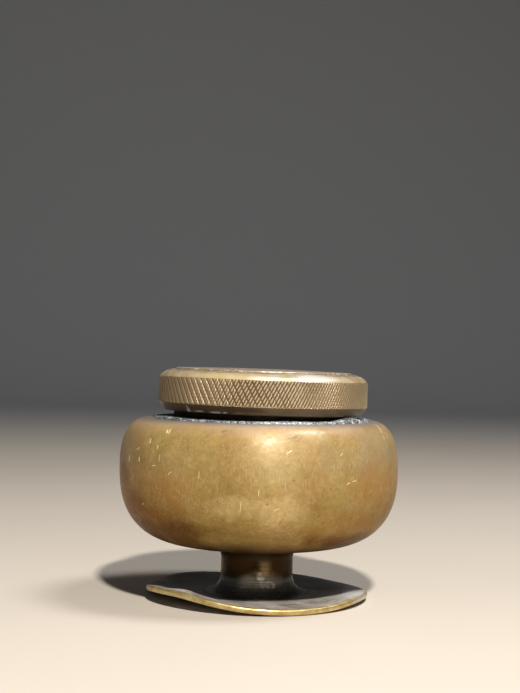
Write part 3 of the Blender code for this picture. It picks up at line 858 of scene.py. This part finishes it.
KNURL_DULL_AND_SHADE = (
    (-40.0, 5.5, 76.0, 18.0),
    (-146.0, 5.5, 66.0, 18.0),
    (90.0, 5.5, 120.0, 18.0),
)
LID_SMEARS = scattered(11, 4, (-130, -100), (1.6, 1.9), (3, 8), (0.25, 0.7))
# the nick's bare metal is also painted near-white as a highlight
LID_PALE_MARKS = [               # bare metal in the nick, narrower step by step
    (NICK_DIRECTION, 1.75 + 0.4 * step, 0.0, 0.9, 0.75 * 0.55 ** step) for step in range(3)
]


# ---------------------------------------- bowl

def superellipse(flat, widest, height, power, steps):
    """Points from the widest radius at height zero to the flat radius at full height."""
    points = []
    for i in range(steps + 1):
        angle = pi / 2 * i / steps
        radius = flat + (widest - flat) * max(cos(angle), 0.0) ** (2 / power)
        points.append(Vector((radius, height * sin(angle) ** (2 / power))))
    return points


def bowl_side(inset, steps):
    """The side from the top flat down to the floor flat, moved in by a wall thickness."""
    widest = BOWL_RADIUS - inset
    rise = BOWL_TOP_Z - BOWL_BELLY_Z - inset
    drop = BOWL_BELLY_Z - BOWL_FLOOR_Z - inset
    upper = superellipse(BOWL_TOP_FLAT, widest, rise, BOWL_SHOULDER_POWER, steps)
    lower = superellipse(BOWL_FLOOR_FLAT, widest, drop, BOWL_BASE_POWER, steps)
    side = [Vector((p[0], BOWL_BELLY_Z + p[1])) for p in reversed(upper)]
    return side + [Vector((p[0], BOWL_BELLY_Z - p[1])) for p in lower[1:]]


def build_bowl(material):
    """A spun shell, hardly dented, its outer skin slightly uneven from long handling."""
    mouth = [Vector((BOWL_MOUTH, BOWL_TOP_Z - 0.3 * MM)), Vector((BOWL_MOUTH + 0.3 * MM, BOWL_TOP_Z))]
    outer = mouth + bowl_side(0.0, 40)
    outer += [Vector((SPIGOT_HOLE, BOWL_FLOOR_Z)), Vector((SPIGOT_HOLE, BOWL_FLOOR_Z + BOWL_WALL))]
    inner = list(reversed(bowl_side(BOWL_WALL, 16))) + [Vector((BOWL_MOUTH, BOWL_TOP_Z - BOWL_WALL))]
    skin = refined(outer, 0.55 * MM)
    grid = turned(skin + refined(inner, 2.0 * MM), 420)
    radius, angle = polar(grid)
    height = grid[..., 2]
    on_skin = (np.arange(len(grid)) < len(skin))[:, None] * (radius > BOWL_FLOOR_FLAT)
    side = unit((radius - BOWL_TOP_FLAT) / (1.5 * MM)) * on_skin
    dent = 0.045 * MM * (0.5 + 0.5 * rough(grid, 11.0 * MM, 3.0))
    for direction, at, depth, width in BOWL_DENTS:
        across = bump(angle, direction, width / BOWL_RADIUS * 180.0 / pi)
        dent = dent + depth * across * np.exp(-((height - at) / width) ** 2)
    swell(grid, -np.clip(dent, 0.0, None) * side)
    piece("bowl_shell", grid, material, "pot", ["bowl"], ring=True)


# ---------------------------------------- neck, solder and cup

def thread_ridge(angle, height, start, turns):
    """Share of the full thread height at each angle, in degrees, and height on the axis."""
    share = 0.0
    for lap in range(int(np.ceil(turns))):
        turn = (angle % 360.0) / 360.0 + lap
        away = np.abs(height - start - THREAD_PITCH * turn)
        flank = unit((THREAD_BASE / 2 - away) / (THREAD_BASE / 2 - THREAD_CREST / 2))
        fade = unit(np.minimum(turn, turns - turn) / THREAD_RUN_OUT)
        share = np.maximum(share, flank * fade)
    return share


def build_neck(material):
    """The collar with its outside thread."""
    corners = [
        (NECK_BORE, NECK_TOP_Z, 0.2 * MM),
        (NECK_RADIUS, NECK_TOP_Z, 0.4 * MM),
        (NECK_RADIUS, NECK_FOOT_Z, 0.0),
        (NECK_BORE, NECK_FOOT_Z, 0.0),
        (NECK_BORE, NECK_TOP_Z - 0.4 * MM, 0.0),
    ]
    grid = turned(refined(rounded(corners), 0.08 * MM), 288)
    radius, angle = polar(grid)
    ridge = thread_ridge(angle, grid[..., 2], NECK_THREAD_Z, THREAD_TURNS)
    swell(grid, THREAD_HEIGHT * ridge * (radius > NECK_RADIUS - 0.05 * MM))
    piece("neck_thread", grid, material, "pot", ["neck_collar"], NECK, ring=True)


def build_solder(material):
    """A crusty bead run round the neck by hand: lumpy, with a few higher blobs."""
    section = 26
    share = np.linspace(0.0, 1.0, section)[:, None]
    angle = np.degrees(np.arange(900) * tau / 900)[None, :]
    placed = np.stack([np.cos(np.radians(angle)), np.sin(np.radians(angle)), 0 * angle], axis=-1)
    lumps = rough(placed * 22.0 * MM, 1.3 * MM, 5.0)
    drips = rough(placed * 22.0 * MM, 5.5 * MM, 9.0)
    outer = SOLDER_OUTER - 0.25 * MM + 0.45 * MM * drips
    rise = SOLDER_RISE + 0.05 * MM * lumps
    for direction, half_width, height in SOLDER_BLOBS:
        rise = rise + height * bump(angle, direction, half_width)
    radius = SOLDER_INNER + (outer - SOLDER_INNER) * share
    crest = np.clip(np.sin(pi * unit(share) ** 1.5), 0.0, None) ** 0.55
    flat = SOLDER_FLAT * unit(share * 14.0) * unit((1.0 - share) * 14.0)
    height = BOWL_TOP_Z + 0.02 * MM + flat * (1 - crest) + rise * crest
    top = np.stack([radius * placed[..., 0], radius * placed[..., 1], height], axis=-1)
    grains = rough(top, 0.45 * MM, 2.0, 3)
    top[..., 2] += 0.05 * MM * grains * crest
    under = np.stack([
        radius[::-1] * placed[..., 0],
        radius[::-1] * placed[..., 1],
        BOWL_TOP_Z - 0.05 * MM + 0 * height,
    ], axis=-1)[::5]
    grid = np.concatenate([top, under])
    grid[..., 0] += NECK.translation.x
    piece("solder_bead", grid, material, "pot", ["neck_solder"], ring=True, sharp=60.0)


def build_cup(material):
    """The glass liner, which hangs in the neck by its flange."""
    inside = CUP_RADIUS - CUP_WALL
    flange = NECK_TOP_Z + GAP
    corners = [
        (0.0, CUP_BOTTOM_Z + CUP_FLOOR, 0.0),
        (inside, CUP_BOTTOM_Z + CUP_FLOOR, 2.4 * MM),
        (inside, flange + CUP_FLANGE, 0.4 * MM),
        (CUP_FLANGE_RADIUS, flange + CUP_FLANGE, 0.35 * MM),
        (CUP_FLANGE_RADIUS, flange, 0.25 * MM),
        (CUP_RADIUS, flange, 0.3 * MM),
        (CUP_RADIUS, CUP_BOTTOM_Z, 3.0 * MM),
        (0.0, CUP_BOTTOM_Z, 0.0),
    ]
    grid = turned(refined(rounded(corners, 8), 0.8 * MM), 192)
    piece("glass_liner", grid, material, "pot", ["glass_cup"], NECK, sharp=60.0)


# ---------------------------------------- stem and foot

def build_stem(material):
    """A turned column with fine tool lines that flares out onto the foot, crusty at its root."""
    bottom = FOOT_SHEET + 0.02 * MM
    top = BOWL_FLOOR_Z - 0.05 * MM
    spigot = rounded([(0.0, STEM_HIGH.z, 0.0), (SPIGOT, STEM_HIGH.z, 0.3 * MM), (SPIGOT, top, 0.0)])
    shaft = []
    for i in range(9):
        r = STEM_RADIUS + STEM_TOP_FILLET * (1 - i / 8) ** 2
        shaft.append(Vector((r, top - STEM_FILLET_STEP * i)))
    for i in range(19):
        turn = radians(180.0 + 90.0 * i / 18)
        r = STEM_RADIUS + STEM_FLARE_WIDTH + STEM_FLARE_WIDTH * cos(turn)
        shaft.append(Vector((r, bottom + STEM_FLARE_HEIGHT * (1 + sin(turn)))))
    socket = STEM_LOW.z + 6.5 * MM
    under = [Vector((STEM_BORE, bottom - 0.05 * MM)), Vector((STEM_BORE, socket)), Vector((0.0, socket))]
    skin = refined(shaft, 0.1 * MM)
    grid = turned(spigot + skin + under, 288)
    row = np.arange(len(grid))[:, None]
    on_shaft = (row >= len(spigot)) * (row < len(spigot) + len(skin) - 1)
    height = grid[..., 2]
    lines = np.sin(height / (0.62 * MM) * tau + 1.5 * np.sin(height / (1.9 * MM) * tau))
    root = unit((bottom + 2.8 * MM - height) / (2.0 * MM))
    crust = STEM_CRUST * rough(grid, 1.5 * MM, 4.0) * root
    swell(grid, on_shaft * (STEM_TOOL_LINE * (lines - 1.0) + crust))
    piece("stem_column", grid, material, "pot", ["stem"], sharp=50.0)


def build_foot(material):
    """The sheet disc: wavy rim, soft worn edge, small dents, and a countersunk hole."""
    corners = [
        (SCREW_HOLE, FOOT_SHEET, 0.0),
        (FOOT_RADIUS, FOOT_SHEET, 0.6 * MM),
        (FOOT_RADIUS, 0.0, 0.55 * MM),
        (COUNTERSINK, 0.0, 0.0),
    ]
    grid = turned(refined(rounded(corners, 6), 0.35 * MM), 480)
    radius, angle = polar(grid)
    share = np.clip((radius - FOOT_FLAT) / (FOOT_RADIUS - FOOT_FLAT), 0.0, None)
    lift = sum(height * bump(angle, at, width) for at, width, height in FOOT_WAVES)
    pull = sum(depth * bump(angle, at, width) for at, width, depth in FOOT_FLATS)
    nibble = 0.05 * MM * (1.0 + rough(grid, 4.0 * MM, 6.0))
    dents = 0.05 * MM * (rough(grid, 4.5 * MM, 8.0) - 1.0) * unit(grid[..., 2] / FOOT_SHEET)
    curl = sum(height * bump(angle, at, width) for at, width, height in FOOT_CURLS)
    lift = lift * share ** 2 * (3 - 2 * share)
    lift = lift + curl * np.exp(-((radius - FOOT_CURL_RADIUS) / FOOT_CURL_WIDTH) ** 2)
    grid[..., 2] += lift + dents * unit(share * 3.0)
    swell(grid, -(pull + nibble) * share)
    place = Matrix.Translation((FOOT_OFFSET_X, 0.0, 0.0))
    piece("foot_disc", grid, material, "pot", ["foot_plate"], place,
          ring=True, sharp=50.0)


# ---------------------------------------- lid

def band_corners():
    """Slopes of the bevel and the skirt, as radius lost for each unit of height past the band."""
    bevel = (LID_RADIUS - LID_BEVEL_RADIUS) / (LID_BEVEL_Z - LID_BAND_TOP_Z)
    return bevel, LID_SKIRT_CHAMFER / (LID_BAND_BOTTOM_Z - LID_SKIRT_Z)


def build_lid_body(material):
    """The cap without its knurl: turned shoulder, bevel, skirt, and a threaded bore."""
    bevel, skirt = band_corners()
    end = KNURL_END + 0.02 * MM
    core = LID_RADIUS - KNURL_DEPTH - 0.15 * MM
    ring_z = LID_BEVEL_Z + (LID_BEVEL_RADIUS - LID_GROOVE_RADIUS) * 0.26
    corners = [
        (0.0, LID_RECESS_Z, 0.0),
        (LID_RECESS_RADIUS, LID_RECESS_Z, 0.1 * MM),
        (LID_RECESS_RADIUS, LID_SHOULDER_Z, 0.12 * MM),
        (LID_SHOULDER_RADIUS, LID_SHOULDER_Z, 0.15 * MM),
        (LID_GROOVE_RADIUS - LID_GROOVE, ring_z + 0.026 * MM, 0.03 * MM),
        (LID_GROOVE_RADIUS, ring_z - 0.8 * LID_GROOVE, 0.03 * MM),
        (LID_GROOVE_RADIUS + LID_GROOVE, ring_z - 0.026 * MM, 0.03 * MM),
        (LID_BEVEL_RADIUS, LID_BEVEL_Z, 0.7 * MM),
        (LID_RADIUS - 0.62 * MM, LID_BAND_TOP_Z + 0.8 * MM, 0.7 * MM),
        (LID_RADIUS - end * bevel, LID_BAND_TOP_Z + end, 0.0),
        (core, LID_BAND_TOP_Z, 0.0),
        (core, LID_BAND_BOTTOM_Z, 0.0),
        (LID_RADIUS - end * skirt, LID_BAND_BOTTOM_Z - end, 0.0),
        (LID_RADIUS - LID_SKIRT_CHAMFER, LID_SKIRT_Z, 0.25 * MM),
        (LID_BORE + 0.3 * MM, LID_SKIRT_Z, 0.1 * MM),
        (LID_BORE, LID_SKIRT_Z + 0.3 * MM, 0.1 * MM),
        (LID_BORE, LID_ROOF_Z, 0.3 * MM),
        (0.0, LID_ROOF_Z, 0.0),
    ]
    grid = turned(refined(rounded(corners), 0.12 * MM), 360)
    radius, angle = polar(grid)
    inside = np.abs(radius - LID_BORE) < 0.02 * MM
    ridge = thread_ridge(angle, grid[..., 2], NECK_THREAD_Z + THREAD_PITCH / 2, THREAD_TURNS)
    low = unit((LID_SKIRT_Z + NICK_HEIGHT - grid[..., 2]) / (0.8 * MM))
    nick = bump(angle, NICK_DIRECTION, 1.0) * low
    nick = nick * (radius > LID_RADIUS - LID_SKIRT_CHAMFER - 0.4 * MM)
    worn = 0.02 * MM * (1.0 + rough(grid, 5.0 * MM, 7.0)) * (radius > LID_SHOULDER_RADIUS)
    swell(grid, -THREAD_HEIGHT * ridge * inside - NICK_DEPTH * nick - worn)
    piece("lid_body", grid, material, "lid", ["lid_cap"], NECK, sharp=40.0)


def build_lid_knurl(material):
    """The diamond knurl: two crossing families of V grooves, one with twice the other's lines."""
    bevel, skirt = band_corners()
    core = LID_RADIUS - KNURL_DEPTH - 0.25 * MM
    top = LID_BAND_TOP_Z + KNURL_END
    bottom = LID_BAND_BOTTOM_Z - KNURL_END
    heights = np.concatenate([
        [top],
        np.linspace(LID_BAND_TOP_Z, LID_BAND_BOTTOM_Z, 44),
        [bottom],
    ])
    profile = [Vector((LID_RADIUS, z)) for z in heights]
    profile += [Vector((core, bottom)), Vector((core, top))]
    grid = turned(profile, 1800)
    angle = polar(grid)[1]
    z = grid[..., 2]
    uneven = 0.92 + 0.16 * rough(grid, 6.0 * MM, 11.0, 2)
    ends = np.maximum((z - LID_BAND_TOP_Z) * bevel, (LID_BAND_BOTTOM_Z - z) * skirt)
    cut = ends
    lead = np.tan(radians(KNURL_HELIX))
    for lines, deepest, slope, mean, swing in KNURL_LINES:
        depth = KNURL_DEPTH * (mean + swing * np.cos(2 * np.radians(angle - deepest)))
        pitch = tau * LID_RADIUS / abs(lines)
        along = np.radians(angle) * LID_RADIUS + np.sign(lines) * z * lead
        off_center = np.abs((along / pitch) % 1.0 - 0.5) * pitch * cos(radians(KNURL_HELIX))
        cut = np.maximum(cut, depth * uneven - off_center * slope)
    run_out = np.minimum(top - z, z - bottom) * 1.4
    cut = np.clip(cut, 0.0, np.maximum(run_out, ends))
    outer = (np.arange(len(grid)) < len(heights))[:, None]
    swell(grid, -cut * outer)
    piece("lid_knurl", grid, material, "lid", (), NECK, ring=True, sharp=25.0)


def build_lid_disc(material):
    """The thin, slightly crowned disc let into the lid's top."""
    bottom = LID_RECESS_Z + GAP
    top = bottom + DISC_THICKNESS
    corners = [
        (0.0, top, 0.0),
        (DISC_RADIUS, top, 0.3 * MM),
        (DISC_RADIUS, bottom, 0.1 * MM),
        (0.0, bottom, 0.0),
    ]
    grid = turned(refined(rounded(corners), 0.4 * MM), 240)
    radius = polar(grid)[0]
    crown = DISC_CROWN * (1.0 - (radius / DISC_RADIUS) ** 2)
    crown = crown - 0.03 * MM * (1.0 + rough(grid, 8.0 * MM, 12.0))
    grid[..., 2] += crown * (grid[..., 2] > bottom + 0.5 * DISC_THICKNESS)
    piece("lid_disc_plate", grid, material, "lid", ["lid_disc"], NECK)


def build_washer(material):
    """The leather ring under the lid's roof."""
    top = LID_ROOF_Z - GAP
    bottom = top - WASHER_THICKNESS
    corners = [
        (WASHER_INNER, top, 0.0),
        (WASHER_OUTER, top, 0.3 * MM),
        (WASHER_OUTER, bottom, 0.3 * MM),
        (WASHER_INNER, bottom, 0.3 * MM),
        (WASHER_INNER, top - 0.3 * MM, 0.0),
    ]
    grid = turned(refined(rounded(corners), 0.25 * MM), 240)
    grid[..., 2] += 0.03 * MM * rough(grid, 1.6 * MM, 13.0)
    swell(grid, 0.02 * MM * (rough(grid, 1.2 * MM, 14.0) - 1.0))
    piece("leather_seal", grid, material, "lid_seal", ["lid_washer"], NECK,
          ring=True)


def finish_fasteners(steel, brass):
    """The screw, nut and washer keep their CAD shape and take a worn finish."""
    for name, material in (("foot_screw", steel), ("stem_nut", steel), ("nut_washer", brass)):
        mesh = frame["nodes"][name].data
        mesh.materials.clear()
        mesh.materials.append(material)
        mesh.shade_smooth()
        mesh.set_sharp_from_angle(angle=radians(30.0))


# ---------------------------------------- studio

def aimed(position, target):
    """A matrix that stands at a position and looks at a target."""
    look = Vector(target) - Vector(position)
    return Matrix.Translation(position) @ look.to_track_quat("-Z", "Y").to_matrix().to_4x4()


def area_light(name, azimuth, elevation, distance, size, power, color):
    """A square soft light, placed by its direction from the pot; azimuth 0 is the camera's side."""
    side = radians(azimuth)
    up = radians(elevation)
    away = Vector((sin(side) * cos(up), -cos(side) * cos(up), sin(up))) * distance
    light = bpy.data.lights.new(name, "AREA")
    light.size = size
    light.energy = power
    light.color = color
    made = bpy.data.objects.new(name, light)
    bpy.context.scene.collection.objects.link(made)
    made.matrix_world = aimed(LIT_POINT + away, LIT_POINT)


def build_stage(material):
    """A level floor that curves up into a backdrop far behind the pot."""
    depth = np.concatenate([np.linspace(-1.6, 1.1, 28), 1.1 + 0.5 * np.sin(np.linspace(0, pi / 2, 13))[1:]])
    height = np.concatenate([np.zeros(28), 0.5 - 0.5 * np.cos(np.linspace(0, pi / 2, 13))[1:]])
    depth = np.append(depth, 1.6)
    height = np.append(height, 2.4)
    points = [(x, y, z) for y, z in zip(depth, height) for x in (-2.4, 2.4)]
    faces = [(2 * i, 2 * i + 1, 2 * i + 3, 2 * i + 2) for i in range(len(depth) - 1)]
    mesh = bpy.data.meshes.new("studio_sweep")
    mesh.from_pydata(points, [], faces)
    mesh.shade_smooth()
    mesh.materials.append(material)
    sweep = bpy.data.objects.new("studio_sweep", mesh)
    bpy.context.scene.collection.objects.link(sweep)


def build_camera():
    """Stands at the photograph's viewing angle, nearly level and slightly rolled."""
    camera = bpy.data.cameras.new("photo_view")
    camera.lens = CAMERA_LENS
    camera.clip_start = 0.01
    made = bpy.data.objects.new("photo_view", camera)
    bpy.context.scene.collection.objects.link(made)
    pitch = Matrix.Rotation(radians(90.0 + CAMERA_PITCH), 4, "X")
    roll = Matrix.Rotation(radians(CAMERA_ROLL), 4, "Z")
    made.matrix_world = Matrix.Translation(CAMERA_PLACE) @ pitch @ roll
    bpy.context.scene.camera = made


def build_world():
    world = bpy.data.worlds.new("studio")
    world.use_nodes = True
    world.node_tree.nodes["Background"].inputs["Color"].default_value = WORLD_COLOR
    world.node_tree.nodes["Background"].inputs["Strength"].default_value = WORLD_STRENGTH
    bpy.context.scene.world = world
    bpy.context.scene.view_settings.view_transform = "Standard"


build_bowl(bowl_brass())
build_neck(neck_brass("neck_brass", NECK_RADIUS + 0.35 * MM))
build_solder(crusty_solder())
build_cup(clear_glass())
build_stem(stem_brass())
build_foot(foot_brass())
build_lid_body(lid_brass("lid_brass"))
build_lid_knurl(lid_brass("lid_knurl_brass", knurled=True))
build_lid_disc(lid_brass("lid_disc_brass"))
build_washer(oiled_leather())
finish_fasteners(dulled_steel(), neck_brass("washer_brass", 5.7 * MM))

build_stage(pale_paper())
for light_row in LIGHTS:
    area_light(*light_row)
build_world()
build_camera()
